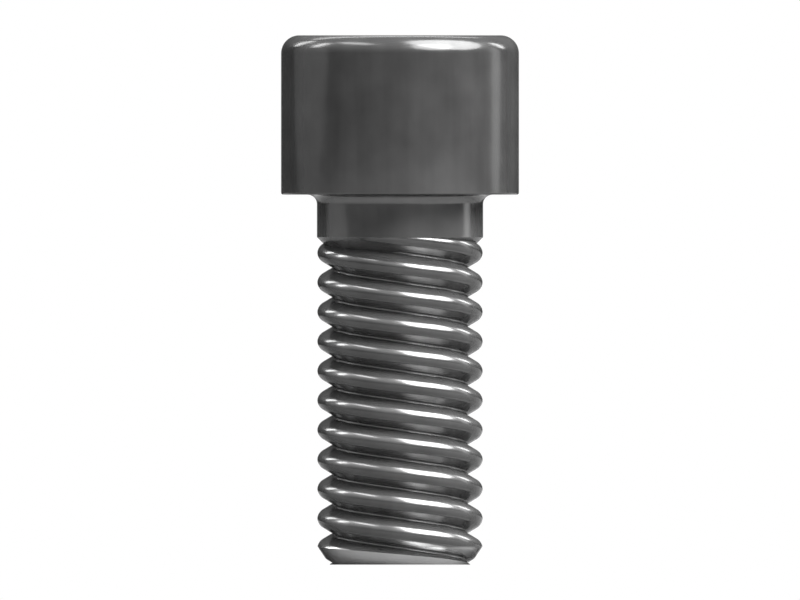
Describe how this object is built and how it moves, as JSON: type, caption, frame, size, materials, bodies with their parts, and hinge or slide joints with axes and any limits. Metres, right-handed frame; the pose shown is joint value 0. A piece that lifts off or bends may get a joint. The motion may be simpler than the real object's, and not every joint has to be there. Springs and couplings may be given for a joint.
{
  "type": "socket head cap screw",
  "caption": "Machine screw with a tall cylindrical head, a hexagonal socket for a key, and a partly threaded shank.",
  "frame": {"origin": "middle of the flat end of the tip, at the lowest point of the part", "axes": "+Z along the screw's axis, from the tip to the head; +X and -X point at two corners of the hexagonal socket; the picture looks along +Y"},
  "size_m": [0.0114, 0.0114, 0.0253],
  "materials": {
    "black_oxide_steel": "black oxide, oiled"
  },
  "bodies": {
    "root": {"cap_screw": "black_oxide_steel"}
  },
  "joints": []
}
